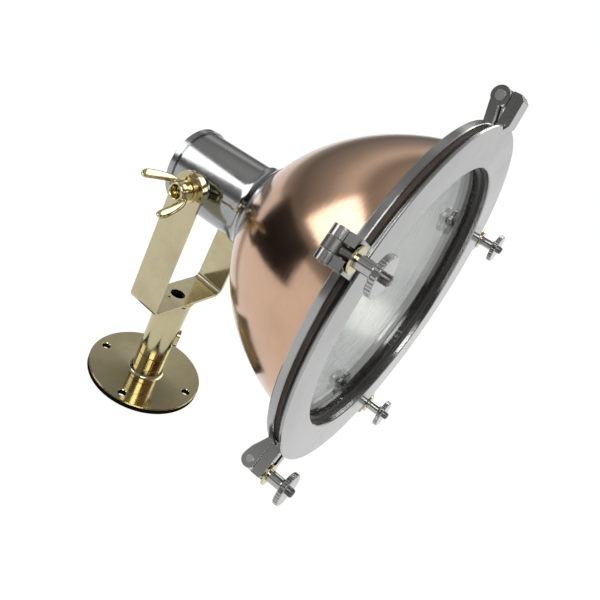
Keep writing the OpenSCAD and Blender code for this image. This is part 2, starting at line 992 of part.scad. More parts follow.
module lens_seal() {
    color(RUBBER)
        lamp_frame()
            rotate_extrude($fn = 180)
                polygon([
                    [opening_r - 4, lens_front],
                    [lens_r, lens_front],
                    [lens_r, lens_back],
                    [seat_r, lens_back],
                    [seat_r, lip_back],
                    [opening_r - 1, lip_back],
                    [opening_r - 1, lens_front + 3],
                    [opening_r - 4, lens_front + 2]
                ]);
}

module lens_glass() {
    color(GLASS, 0.35)
        lamp_frame()
            translate([0, 0, lens_back])
                cylinder(r = lens_r, h = lens_t, $fn = 180);
}

module lens_back_seal() {
    color(RUBBER)
        lamp_frame()
            tube(seat_r, opening_r - 2, skirt_end + 1.8, lens_back);
}

module lens_circlip() {
    color(STEEL)
        lamp_frame()
            difference() {
                tube(seat_r + 1.5, opening_r + 1, skirt_end + 0.6, skirt_end + 1.8);
                at_angle(ring_turn + 180)
                    translate([opening_r, -4, skirt_end])
                        cube([12, 8, 4]);
            }
}

module hinge_pin() {
    color(STEEL)
        lamp_frame()
            at_angle(ring_turn)
                translate([hinge_r, 0, hinge_x])
                    rotate([90, 0, 0])
                        union() {
                            cylinder(d = hinge_pin_d, h = ear_span + 1, center = true, $fn = 48);
                            for (s = [-1, 1])
                                translate([0, 0, s * (ear_span / 2 + 0.75)])
                                    cylinder(d = hinge_pin_d + 2, h = 1.5, center = true, $fn = 48);
                        }
}

module clamp_pins() {
    color(STEEL)
        at_clamps()
            translate([bolt_r, 0, pin_x])
                rotate([90, 0, 0])
                    union() {
                        cylinder(d = pin_d, h = ear_span + 1, center = true, $fn = 48);
                        for (s = [-1, 1])
                            translate([0, 0, s * (ear_span / 2 + 0.4)])
                                cylinder(d = pin_d + 1, h = 0.8, center = true, $fn = 48);
                    }
}

// A swing bolt at its clamp, in the outward frame
module swing_bolt(k) {
    color(STEEL)
        at_clamp(k)
            difference() {
                union() {
                    translate([bolt_r, 0, pin_x])
                        rotate([90, 0, 0])
                            cylinder(r = eye_r, h = eye_w, center = true, $fn = 64);
                    translate([bolt_r, 0, pin_x + 4])
                        cylinder(d = bolt_d, h = nut_front + bolt_end - 1 - pin_x - 4, $fn = 48);
                    translate([bolt_r, 0, nut_front + bolt_end - 1])
                        cylinder(d1 = bolt_d, d2 = bolt_d - 2, h = 1, $fn = 48);
                }
                translate([bolt_r, 0, pin_x])
                    rotate([90, 0, 0])
                        cylinder(r = pin_d / 2 + run_gap, h = eye_w + 2, center = true, $fn = 48);
            }
}

module swing_bolt_1() { swing_bolt(1); }

module swing_bolt_2() { swing_bolt(2); }

module swing_bolt_3() { swing_bolt(3); }

module swing_bolt_4() { swing_bolt(4); }

// A brass washer at its clamp
module clamp_washer(k) {
    color(BRASS)
        at_clamp(k)
            translate([bolt_r, 0, 0])
                tube(washer_d / 2, bolt_d / 2 + 0.2, washer_seat, washer_seat + washer_t);
}

module clamp_washer_1() { clamp_washer(1); }

module clamp_washer_2() { clamp_washer(2); }

module clamp_washer_3() { clamp_washer(3); }

module clamp_washer_4() { clamp_washer(4); }

// A thumb nut at its clamp: a sleeve that flares into a knurled flange
module thumb_nut(k) {
    sleeve_r = nut_sleeve_d / 2;
    flange_back = nut_len - nut_flange_t;
    flare = 4;
    knurls = 36;
    color(ALUMINIUM)
        at_clamp(k)
            translate([bolt_r, 0, nut_seat])
                difference() {
                    rotate_extrude($fn = 72)
                        difference() {
                            polygon([
                                [bolt_d / 2 + run_gap, 0],
                                [sleeve_r, 0],
                                [sleeve_r, flange_back - flare],
                                [sleeve_r + flare, flange_back],
                                [nut_flange_d / 2 - 0.8, flange_back],
                                [nut_flange_d / 2, flange_back + 0.8],
                                [nut_flange_d / 2, nut_len - 0.8],
                                [nut_flange_d / 2 - 0.8, nut_len],
                                [bolt_d / 2 + run_gap, nut_len]
                            ]);
                            translate([sleeve_r + flare, flange_back - flare])
                                circle(r = flare, $fn = 48);
                        }
                    for (i = [0 : knurls - 1])
                        rotate([0, 0, i * 360 / knurls])
                            translate([nut_flange_d / 2 + 0.2, 0, flange_back - 1])
                                rotate([0, 0, 45])
                                    translate([-0.6, -0.6, 0])
                                        cube([1.2, 1.2, nut_flange_t + 2]);
                }
}

module thumb_nut_1() { thumb_nut(1); }

module thumb_nut_2() { thumb_nut(2); }

module thumb_nut_3() { thumb_nut(3); }

module thumb_nut_4() { thumb_nut(4); }

// Places the children at each screw of the holder plate
module at_plate_screws() {
    for (k = [0 : 2])
        at_angle(60 + 120 * k)
            translate([can_in_r - ledge_w / 2, 0, 0])
                children();
}

// Places the children at each screw of the ceramic body
module at_ceramic_screws() {
    for (a = [0, 180])
        at_angle(a)
            translate([holder_d / 2 - 4.5, 0, 0])
                children();
}

module holder_plate() {
    color(STEEL)
        lamp_frame()
            translate([0, 0, holder_x - plate_t])
                difference() {
                    cylinder(r = can_in_r - 0.2, h = plate_t, $fn = 96);
                    translate([0, 0, -1])
                        cylinder(r = 9, h = plate_t + 2, $fn = 48);
                    translate([0, 0, -1])
                        at_plate_screws()
                            cylinder(d = 3.2, h = plate_t + 2, $fn = 24);
                    translate([0, 0, -1])
                        at_ceramic_screws()
                            cylinder(d = 4, h = plate_t + 2, $fn = 24);
                }
}

module holder_plate_screws() {
    color(STEEL)
        lamp_frame()
            at_plate_screws()
                union() {
                    translate([0, 0, holder_x - plate_t])
                        cylinder(d = 3, h = plate_t + 8, $fn = 24);
                    translate([0, 0, holder_x - plate_t - 2])
                        cylinder(d = 3.8, h = 2, $fn = 24);
                }
}

module holder_ceramic() {
    color(CERAMIC)
        lamp_frame()
            difference() {
                translate([0, 0, holder_x])
                    union() {
                        cylinder(d = holder_d, h = 12, $fn = 96);
                        cylinder(r = shell_r + 5, h = holder_len, $fn = 96);
                    }
                translate([0, 0, holder_x + 4])
                    cylinder(r = shell_r + 1, h = holder_len, $fn = 96);
                translate([0, 0, holder_x - 1])
                    cylinder(d = 5, h = 10, $fn = 32);
                at_ceramic_screws()
                    translate([0, 0, holder_x - 1])
                        cylinder(d = 4, h = 20, $fn = 24);
            }
}

module holder_screws() {
    color(STEEL)
        lamp_frame()
            at_ceramic_screws()
                union() {
                    translate([0, 0, holder_x - plate_t])
                        cylinder(d = 4, h = plate_t + 12, $fn = 24);
                    translate([0, 0, holder_x - plate_t - 2.2])
                        cylinder(d = 7, h = 2.2, $fn = 24);
                }
}

module holder_shell() {
    color("#b08d57")
        lamp_frame()
            tube(shell_r + 1, shell_r, holder_x + 10, holder_x + holder_len - 4);
}

module holder_contact() {
    color("#b08d57")
        lamp_frame()
            union() {
                translate([0, 0, holder_x - 4])
                    cylinder(d = 5, h = 8.5, $fn = 32);
                translate([0, 0, holder_x + 4])
                    cylinder(d = 16, h = 1.5, $fn = 32);
                translate([0, 0, holder_x + 5])
                    cylinder(d = 8, h = 2, $fn = 32);
            }
}

module terminal_block() {
    color(CERAMIC)
        lamp_frame()
            translate([-16, -16, holder_x - plate_t - block_h])
                difference() {
                    cube([11, 32, block_h]);
                    for (y = [6, 16, 26])
                        translate([-1, y, block_h / 2])
                            rotate([0, 90, 0])
                                cylinder(d = 4, h = 14, $fn = 24);
                }
}

module lamp_cap() {
    cap_r = cap_d / 2;
    color("#c2b280")
        lamp_frame()
            rotate_extrude($fn = 96)
                polygon([
                    [0, cap_start - 2],
                    [6, cap_start - 2],
                    [7, cap_start],
                    [cap_r - 4, cap_start + 3],
                    [cap_r, cap_start + 6],
                    [cap_r, cap_end],
                    [cap_r - 1, cap_end],
                    [cap_r - 1, cap_start + 7],
                    [0, cap_start + 4]
                ]);
}

module lamp_glass() {
    cap_r = cap_d / 2;
    ball_x = lamp_front - lamp_r;
    wall = 1.2;
    outer = [for (a = [-50 : 10 : 90]) [lamp_r * cos(a), ball_x + lamp_r * sin(a)]];
    inner = [for (a = [-50 : 10 : 90]) [(lamp_r - wall) * cos(a), ball_x + (lamp_r - wall) * sin(a)]];
    color(GLASS, 0.4)
        lamp_frame()
            rotate_extrude($fn = 96)
                polygon(concat(
                    [[cap_r, cap_end], [cap_r, cap_end + 6]],
                    outer,
                    reversed(inner),
                    [[cap_r - wall, cap_end + 6], [cap_r - wall, cap_end]]
                ));
}

base_flange();
swivel_post();
yoke();
lock_screw();
rear_can();
rear_cover();
cover_gasket();
pivot_studs();
pivot_discs();
outer_washers();
wing_nut_right();
hex_nut_left();
gland_body();
gland_seal();
gland_nut();
collar();
copper_bowl();
bowl_clamp_ring();
collar_screws();
reflector();
rear_ring();
ring_rivets();
ring_gasket();
door_ring();
lens_seal();
lens_glass();
lens_back_seal();
lens_circlip();
hinge_pin();
clamp_pins();
swing_bolt_1();
swing_bolt_2();
swing_bolt_3();
swing_bolt_4();
clamp_washer_1();
clamp_washer_2();
clamp_washer_3();
clamp_washer_4();
thumb_nut_1();
thumb_nut_2();
thumb_nut_3();
thumb_nut_4();
holder_plate();
holder_plate_screws();
holder_ceramic();
holder_screws();
holder_shell();
holder_contact();
terminal_block();
lamp_cap();
lamp_glass();
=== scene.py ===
"""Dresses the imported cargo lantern: finishes for every node, spun skins, threads, lamp parts, stage and camera."""

import json
import logging
import math
from dataclasses import dataclass, field
from enum import Enum

import bmesh
import bpy
from mathutils import Matrix, Vector


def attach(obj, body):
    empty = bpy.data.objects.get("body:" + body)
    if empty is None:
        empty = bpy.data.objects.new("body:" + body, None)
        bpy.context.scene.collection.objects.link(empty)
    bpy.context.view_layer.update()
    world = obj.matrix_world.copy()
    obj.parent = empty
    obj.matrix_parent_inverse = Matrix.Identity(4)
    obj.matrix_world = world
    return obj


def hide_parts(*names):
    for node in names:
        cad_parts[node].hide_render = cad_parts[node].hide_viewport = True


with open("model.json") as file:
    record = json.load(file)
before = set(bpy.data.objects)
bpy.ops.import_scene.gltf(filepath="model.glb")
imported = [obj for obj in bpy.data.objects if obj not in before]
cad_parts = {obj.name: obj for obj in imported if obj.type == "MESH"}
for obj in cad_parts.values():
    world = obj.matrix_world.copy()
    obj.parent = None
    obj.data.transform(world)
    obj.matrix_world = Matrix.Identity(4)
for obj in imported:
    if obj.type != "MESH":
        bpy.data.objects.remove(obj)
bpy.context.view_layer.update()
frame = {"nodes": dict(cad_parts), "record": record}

logging.basicConfig(level=logging.INFO, format="%(message)s")
LOG = logging.getLogger("lantern")

MM = 0.001
PIVOT_HEIGHT = 0.284
REST_TILT = math.radians(3.8)
RING_TURN = 7.0
CLAMP_STEP = 72.0
LAMP_TURN = math.pi / 2 - REST_TILT
LAMP = Matrix.Translation((0, 0, PIVOT_HEIGHT)) @ Matrix.Rotation(LAMP_TURN, 4, "Y")


def clamp_frame(number: int) -> Matrix:
    """Gives the frame of one clamp: X outward from the lamp's axis, Z forward.

    Args:
        number: The clamp's number, from 1 to 4.

    Returns:
        The matrix from the clamp's frame to the row's frame.
    """
    turn = math.radians(180 - RING_TURN - CLAMP_STEP * number)
    return LAMP @ Matrix.Rotation(turn, 4, "Z")


class Value:
    """A shader value whose Python operators add Math nodes."""

    def __init__(self, graph: "Graph", socket: object) -> None:
        """Keeps the graph and the socket that carries the value."""
        self.graph = graph
        self.socket = socket

    def _math(self, operation: str, first: object, second: object) -> "Value":
        """Adds one Math node.

        Args:
            operation: The node's operation.
            first: The first value or number.
            second: The second value or number.

        Returns:
            The node's result.
        """
        return self.graph.value("ShaderNodeMath", {"operation": operation}, {0: first, 1: second})

    def __add__(self, other: object) -> "Value":
        """Adds."""
        return self._math("ADD", self, other)

    __radd__ = __add__

    def __sub__(self, other: object) -> "Value":
        """Subtracts."""
        return self._math("SUBTRACT", self, other)

    def __rsub__(self, other: object) -> "Value":
        """Subtracts from a number."""
        return self._math("SUBTRACT", other, self)

    def __mul__(self, other: object) -> "Value":
        """Multiplies."""
        return self._math("MULTIPLY", self, other)

    __rmul__ = __mul__

    def __pow__(self, other: object) -> "Value":
        """Raises to a power."""
        return self._math("POWER", self, other)

    def root(self) -> "Value":
        """Takes the square root."""
        return self._math("SQRT", self, 0.0)

    def clipped(self, low: float, high: float) -> "Value":
        """Keeps the value between two numbers.

        Args:
            low: The lowest result.
            high: The highest result.

        Returns:
            The clipped value.
        """
        return self._math("MINIMUM", self._math("MAXIMUM", self, low), high)


class Graph:
    """The node tree of one material or world."""

    def __init__(self, tree: bpy.types.NodeTree) -> None:
        """Empties the tree and keeps it."""
        self.tree = tree
        tree.nodes.clear()

    def node(self, kind: str, settings: dict | None = None, inputs: dict | None = None) -> bpy.types.Node:
        """Adds a node.

        Args:
            kind: The node's type.
            settings: Properties of the node, set before its sockets.
            inputs: Values, wrapped values or sockets for the node's inputs.

        Returns:
            The new node.
        """
        made = self.tree.nodes.new(kind)
        for name, setting in (settings or {}).items():
            if name == "stops":
                ramp = made.color_ramp
                while len(ramp.elements) < len(setting):
                    ramp.elements.new(0.5)
                for element, (place, colour) in zip(ramp.elements, setting):
                    element.position = place
                    element.color = (*colour, 1.0)
            else:
                setattr(made, name, setting)
        for name, given in (inputs or {}).items():
            socket = made.inputs[name]
            source = given.socket if isinstance(given, Value) else given
            if isinstance(source, bpy.types.NodeSocket):
                self.tree.links.new(source, socket)
            else:
                socket.default_value = source
        return made

    def value(self, kind: str, settings: dict | None = None, inputs: dict | None = None, out: object = 0) -> Value:
        """Adds a node and wraps one of its outputs.

        Args:
            kind: The node's type.
            settings: Properties of the node.
            inputs: Values or links for the inputs.
            out: The output's name or number.

        Returns:
            The wrapped output.
        """
        return Value(self, self.node(kind, settings, inputs).outputs[out])

    def place(self, origin: tuple[float, float, float], turn: tuple[float, float, float]) -> Value:
        """Object coordinates seen from a frame.

        Args:
            origin: The frame's origin.
            turn: The frame's rotation as Euler angles.

        Returns:
            The coordinates as a vector.
        """
        raw = self.value("ShaderNodeTexCoord", out="Object")
        return self.value("ShaderNodeMapping", {"vector_type": "TEXTURE"}, {0: raw, 1: origin, 2: turn})

    def parts(self, vector: Value) -> tuple[Value, Value, Value]:
        """Splits a vector into its three values."""
        split = self.node("ShaderNodeSeparateXYZ", None, {0: vector})
        return tuple(Value(self, split.outputs[index]) for index in range(3))

    def noise(self, vector: Value, scale: float, detail: float = 3.0, roughness: float = 0.5) -> Value:
        """Adds a noise in three dimensions.

        Args:
            vector: Where the noise is read.
            scale: The noise's scale per metre.
            detail: The number of octaves.
            roughness: How strong the fine octaves are.

        Returns:
            A value about 0.5.
        """
        return self.value("ShaderNodeTexNoise", None,
                          {"Vector": vector, "Scale": scale, "Detail": detail, "Roughness": roughness})

    def noise_line(self, place: Value, scale: float, detail: float = 2.0) -> Value:
        """Adds a noise along one value, which makes bands.

        Args:
            place: Where the noise is read.
            scale: The noise's scale per metre.
            detail: The number of octaves.

        Returns:
            A value about 0.5.
        """
        return self.value("ShaderNodeTexNoise", {"noise_dimensions": "1D"},
                          {"W": place, "Scale": scale, "Detail": detail})

    def blend(self, share: object, first: tuple, second: tuple) -> Value:
        """Mixes two colours.

        Args:
            share: The second colour's share.
            first: The first colour.
            second: The second colour.

        Returns:
            The mixed colour.
        """
        return self.value("ShaderNodeMix", {"data_type": "RGBA"},
                          {0: share, 6: (*first, 1.0), 7: (*second, 1.0)}, out=2)


class Lay(Enum):
    """The frame that a finish's machining marks run round."""

    LAMP = ((0.0, 0.0, PIVOT_HEIGHT), (0.0, LAMP_TURN, 0.0))
    POST = ((0.0, 0.0, 0.0), (0.0, 0.0, 0.0))
    PIVOT = ((0.0, 0.0, PIVOT_HEIGHT), (math.pi / 2, 0.0, 0.0))


@dataclass(frozen=True)
class Metal:
    """A polished or turned metal."""

    name: str
    colour: tuple[float, float, float]
    tarnish: tuple[float, float, float]
    roughness: float = 0.12
    smudge: float = 0.08
    lay: Lay = Lay.LAMP
    turned: float = 0.06
    turned_scale: float = 900.0
    along: float = 1.0
    edge: float = 0.0005

    def make(self) -> bpy.types.Material:
        """Builds the material.

        Returns:
            The material with its nodes.
        """
        made = bpy.data.materials.new(self.name)
        made.use_nodes = True
        graph = Graph(made.node_tree)
        local = graph.place(*self.lay.value)
        x, y, z = graph.parts(local)
        radius = (x * x + y * y).root()
        bands = graph.noise_line(radius + z * self.along, self.turned_scale, 3.0)
        cloud = graph.noise(local, 16.0, 4.0, 0.6)
        wipe = graph.noise(local, 70.0, 3.0, 0.65)
        speck = graph.noise(local, 420.0, 2.0, 0.5)
        stain = ((cloud - 0.45) * 3.0).clipped(0.0, 1.0) * 0.5 + ((speck - 0.62) * 6.0).clipped(0.0, 1.0) * 0.35
        colour = graph.blend(stain, self.colour, self.tarnish)
        rough = (cloud - 0.5) * self.smudge * 1.6 + (wipe - 0.5) * self.smudge + (bands - 0.5) * self.smudge
        rough = (rough + self.roughness).clipped(0.03, 0.9)
        height = (bands - 0.5) * self.turned + (wipe - 0.5) * 0.05 + (speck - 0.5) * 0.012
        soft = graph.node("ShaderNodeBevel", {"samples": 4}, {"Radius": self.edge})
        bump = graph.node("ShaderNodeBump", None,
                          {"Strength": 0.22, "Distance": 0.0004, "Height": height, "Normal": soft.outputs[0]})
        shader = graph.node("ShaderNodeBsdfPrincipled", None,
                            {"Base Color": colour, "Metallic": 1.0, "Roughness": rough, "Normal": bump.outputs[0]})
        graph.node("ShaderNodeOutputMaterial", None, {0: shader.outputs[0]})
        return made


@dataclass(frozen=True)
class Plain:
    """A finish that isn't metal, such as rubber or glazed ceramic."""

    name: str
    colour: tuple[float, float, float]
    dust: tuple[float, float, float]
    roughness: float = 0.55
    grain: float = 600.0
    depth: float = 0.25
    coat: float = 0.0

    def make(self) -> bpy.types.Material:
        """Builds the material.

        Returns:
            The material with its nodes.
        """
        made = bpy.data.materials.new(self.name)
        made.use_nodes = True
        graph = Graph(made.node_tree)
        local = graph.place(*Lay.LAMP.value)
        fine = graph.noise(local, self.grain, 3.0, 0.6)
        broad = graph.noise(local, 35.0, 4.0, 0.6)
        colour = graph.blend(((broad - 0.4) * 1.8).clipped(0.0, 1.0), self.colour, self.dust)
        rough = ((broad - 0.5) * 0.25 + self.roughness).clipped(0.05, 1.0)
        bump = graph.node("ShaderNodeBump", None, {"Strength": self.depth, "Distance": 0.0003, "Height": fine})
        shader = graph.node("ShaderNodeBsdfPrincipled", None,
                            {"Base Color": colour, "Roughness": rough, "Coat Weight": self.coat,
                             "Normal": bump.outputs[0]})
        graph.node("ShaderNodeOutputMaterial", None, {0: shader.outputs[0]})
        return made


@dataclass(frozen=True)
class Pane:
    """Clear glass with reflections at its surface."""

    name: str
    tint: tuple[float, float, float] = (0.94, 0.96, 0.95)
    shine: float = 0.05

    def make(self) -> bpy.types.Material:
        """Builds the material.

        Returns:
            The material with its nodes.
        """
        made = bpy.data.materials.new(self.name)
        made.use_nodes = True
        graph = Graph(made.node_tree)
        local = graph.place(*Lay.LAMP.value)
        haze = graph.noise(local, 22.0, 4.0, 0.6)
        facing = graph.value("ShaderNodeLayerWeight", None, {"Blend": 0.25}, out="Fresnel")
        share = (facing * 0.5 + (haze - 0.5) * 0.03 + self.shine).clipped(0.0, 0.8)
        clear = graph.node("ShaderNodeBsdfTransparent", None, {"Color": (*self.tint, 1.0)})
        rough = ((haze - 0.5) * 0.05 + 0.04).clipped(0.01, 0.2)
        gloss = graph.node("ShaderNodeBsdfPrincipled", None,
                           {"Base Color": (0.95, 0.96, 0.96, 1.0), "Metallic": 1.0, "Roughness": rough})
        mixed = graph.node("ShaderNodeMixShader", None, {0: share, 1: clear.outputs[0], 2: gloss.outputs[0]})
        graph.node("ShaderNodeOutputMaterial", None, {0: mixed.outputs[0]})
        return made


FINISHES = {
    "base_brass": Metal("polished_brass_flange", (0.44, 0.39, 0.24), (0.20, 0.16, 0.08), 0.10, 0.07, Lay.POST, 0.05, 700.0),
    "post_brass": Metal("polished_brass_post", (0.47, 0.42, 0.26), (0.26, 0.21, 0.11), 0.15, 0.09, Lay.POST, 0.05, 500.0),
    "yoke_brass": Metal("polished_brass_strap", (0.48, 0.43, 0.28), (0.28, 0.23, 0.12), 0.14, 0.12, Lay.PIVOT, 0.02, 90.0),
    "pivot_brass": Metal("polished_brass_fittings", (0.56, 0.49, 0.29), (0.32, 0.25, 0.12), 0.13, 0.08, Lay.PIVOT),
    "copper": Metal("spun_copper", (0.55, 0.365, 0.255), (0.42, 0.265, 0.18), 0.16, 0.08, Lay.LAMP, 0.22, 420.0),
    "can": Metal("polished_can", (0.33, 0.335, 0.34), (0.22, 0.225, 0.23), 0.14, 0.10, Lay.LAMP, 0.06, 700.0, 0.15),
    "ring": Metal("turned_ring", (0.345, 0.35, 0.345), (0.25, 0.255, 0.25), 0.17, 0.10, Lay.LAMP, 0.08, 1100.0, 0.2),
    "nut": Metal("knurled_nut", (0.38, 0.385, 0.38), (0.24, 0.245, 0.24), 0.17, 0.10, Lay.LAMP, 0.05, 1500.0),
    "reflector": Metal("spun_reflector", (0.27, 0.255, 0.232), (0.20, 0.188, 0.168), 0.26, 0.08, Lay.LAMP, 0.10, 500.0),
    "steel": Metal("plain_steel", (0.42, 0.42, 0.43), (0.28, 0.27, 0.26), 0.28, 0.12),
    "dark_steel": Metal("dull_bolt_steel", (0.16, 0.16, 0.155), (0.08, 0.075, 0.07), 0.36, 0.15),
    "rubber": Plain("black_rubber", (0.018, 0.015, 0.013), (0.045, 0.038, 0.032), 0.5),
    "gasket": Plain("brown_gasket", (0.035, 0.024, 0.018), (0.075, 0.055, 0.042), 0.62, 900.0, 0.5),
    "glass": Pane("clear_lens"),
    "lamp_glass": Pane("lamp_glass", (0.97, 0.97, 0.96), 0.08),
    "ceramic": Plain("glazed_ceramic", (0.80, 0.77, 0.71), (0.70, 0.66, 0.60), 0.3, 300.0, 0.1, 0.4),
}
NODE_FINISH = {
    "base_flange": "base_brass", "swivel_post": "post_brass", "yoke": "yoke_brass", "pivot_studs": "pivot_brass",
    "pivot_discs": "pivot_brass", "outer_washers": "pivot_brass", "wing_nut_right": "pivot_brass",
    "hex_nut_left": "pivot_brass", "gland_body": "pivot_brass", "gland_nut": "pivot_brass",
    "rear_can": "can", "rear_cover": "can", "collar": "can", "door_ring": "ring", "rear_ring": "ring",
    "ring_gasket": "gasket", "lens_glass": "glass", "lamp_glass": "lamp_glass", "bowl_clamp_ring": "can",
    "holder_shell": "pivot_brass", "holder_contact": "pivot_brass", "lamp_cap": "pivot_brass",
}
WASHERS = {f"clamp_washer_{number}": "pivot_brass" for number in range(1, 5)}
NUTS = {f"thumb_nut_{number}": "nut" for number in range(1, 5)}
SMOOTH_ANGLE = math.radians(32)
WELD = 1e-6


class Workshop:
    """Makes materials once and turns meshes into finished pieces."""

    def __init__(self) -> None:
        """Starts with no materials made."""
        self.made: dict[str, bpy.types.Material] = {}

    def material(self, finish: str) -> bpy.types.Material:
        """Gives the material of a finish, made at its first use.

        Args:
            finish: The finish's name.

        Returns:
            The material.
        """
        if finish not in self.made:
            self.made[finish] = FINISHES[finish].make()
        return self.made[finish]

    def smooth(self, piece: bpy.types.Object) -> None:
        """Shades a piece smoothly where its faces meet at a small angle.

        Args:
            piece: A new piece or a CAD node.
        """
        piece.data.polygons.foreach_set("use_smooth", [True] * len(piece.data.polygons))
        weld = piece.modifiers.new("joined_corners", "WELD")
        weld.merge_threshold = WELD
        split = piece.modifiers.new("crisp_edges", "EDGE_SPLIT")
        split.split_angle = SMOOTH_ANGLE

    def dress_nodes(self) -> None:
        """Gives every CAD node its finish."""
        slots = {row["node"]: row["material_slot"] for row in frame["record"]["subparts"]}
        for name, node in frame["nodes"].items():
            finish = {**NODE_FINISH, **WASHERS, **NUTS}.get(name, slots.get(name, "steel"))
            finish = "can" if finish == "aluminium" else "pivot_brass" if finish == "brass" else finish
            node.data.materials.clear()
            node.data.materials.append(self.material(finish))
            self.smooth(node)
        LOG.info("dressed %d nodes", len(frame["nodes"]))

    def piece(self, name: str, mesh: bmesh.types.BMesh, place: Matrix, body: str, finish: str,
              stands_for: str | None = None, smoothing: int = 0) -> bpy.types.Object:
        """Turns a mesh into a piece that rides on a body.

        Args:
            name: The piece's name.
            mesh: The mesh, in a frame of its own.
            place: The matrix from that frame to the row's frame.
            body: The CAD body that the piece rides on.
            finish: The name of its finish.
            stands_for: The CAD node that it replaces, if any.
            smoothing: Levels of subdivision.

        Returns:
            The piece's object.
        """
        bmesh.ops.remove_doubles(mesh, verts=mesh.verts, dist=WELD)
        bmesh.ops.transform(mesh, matrix=place, verts=mesh.verts)
        bmesh.ops.recalc_face_normals(mesh, faces=mesh.faces)
        data = bpy.data.meshes.new(name)
        mesh.to_mesh(data)
        mesh.free()
        made = bpy.data.objects.new(name, data)
        bpy.context.scene.collection.objects.link(made)
        data.materials.append(self.material(finish))
        if smoothing:
            rounding = made.modifiers.new("rounding", "SUBSURF")
            rounding.levels = smoothing
            rounding.render_levels = smoothing
            data.polygons.foreach_set("use_smooth", [True] * len(data.polygons))
        else:
            self.smooth(made)
        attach(made, body)
        if stands_for:
            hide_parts(stands_for)
        LOG.info("piece %s on %s, %d faces", name, body, len(data.polygons))
        return made


def spun(outline: list[tuple[float, float]], steps: int, closed: bool = True) -> bmesh.types.BMesh:
    """Spins an outline about the local Z axis.

    Args:
        outline: Points as radius and height, in metres.
        steps: The number of steps round the axis.
        closed: Whether the outline's last point joins its first.

    Returns:
        The spun mesh.
    """
    mesh = bmesh.new()
    points = [mesh.verts.new((radius, 0.0, height)) for radius, height in outline]
    pairs = list(zip(points, points[1:])) + ([(points[-1], points[0])] if closed else [])
    edges = [mesh.edges.new(pair) for pair in pairs]
    bmesh.ops.spin(mesh, geom=points + edges, cent=(0, 0, 0), axis=(0, 0, 1), angle=2 * math.pi, steps=steps,
                   use_merge=True, use_normal_flip=False, use_duplicate=False)
    return mesh


@dataclass
class Bowl:
    """The spun copper bowl and the reflector in it."""

    shop: Workshop
    mouth: float = 217.5
    apex: float = 55.0
    first_power: float = 1.55
    second_power: float = 0.49
    radius: float = 155.0
    sheet: float = 1.2
    hole: float = 37.0
    flange: float = 172.0
    reflector_radius: float = 150.5
    reflector_apex: float = 61.0
    reflector_hole: float = 53.0
    reflector_sheet: float = 1.0
    points: int = 90
    steps: int = 288

    def place_on_axis(self, radius: float, mouth_radius: float, apex: float) -> float:
        """Gives the height of the bowl's curve at a radius.

        Args:
            radius: Where on the curve.
            mouth_radius: The curve's radius at the mouth.
            apex: Where the curve starts on the axis.

        Returns:
            The height along the lamp's axis in millimetres.
        """
        share = 1 - (radius / mouth_radius) ** (1 / self.second_power)
        return apex + (self.mouth - apex) * (1 - max(share, 0.0) ** (1 / self.first_power))

    def curve(self, start: float, mouth_radius: float, apex: float) -> list[tuple[float, float]]:
        """Gives points along the curve, close together near the mouth.

        Args:
            start: The radius of the first point.
            mouth_radius: The radius of the last point.
            apex: Where the curve starts on the axis.

        Returns:
            Points as radius and height in metres.
        """
        line = []
        for index in range(self.points + 1):
            radius = start + (mouth_radius - start) * math.sin(math.pi / 2 * index / self.points)
            line.append((radius * MM, self.place_on_axis(radius, mouth_radius, apex) * MM))
        return line

    def shell(self, start: float, radius: float, apex: float, sheet: float, rim: float) -> bmesh.types.BMesh:
        """Spins a thin shell with a flat flange at its mouth.

        Args:
            start: The radius of the hole at the apex.
            radius: The outer radius at the mouth.
            apex: Where the outer curve starts on the axis.
            sheet: The thickness.
            rim: The height of the flange's front face.

        Returns:
            The shell.
        """
        outer = [point for point in self.curve(start, radius, apex) if point[1] < (rim - sheet) * MM]
        inner = [point for point in self.curve(start, radius - sheet, apex + sheet) if point[1] < rim * MM]
        edge = [((radius - sheet) * MM, rim * MM), (self.flange * MM, rim * MM),
                (self.flange * MM, (rim - sheet) * MM), (radius * MM, (rim - sheet) * MM)]
        return spun(inner + edge + outer[::-1], self.steps)

    def build(self) -> None:
        """Builds the copper skin and the reflector's skin."""
        copper = self.shell(self.hole, self.radius, self.apex, self.sheet, self.mouth)
        self.shop.piece("copper_skin", copper, LAMP, "head", "copper", "copper_bowl")
        bright = self.shell(self.reflector_hole, self.reflector_radius, self.reflector_apex,
                            self.reflector_sheet, self.mouth + self.reflector_sheet)
        self.shop.piece("reflector_skin", bright, LAMP, "head", "reflector", "reflector")


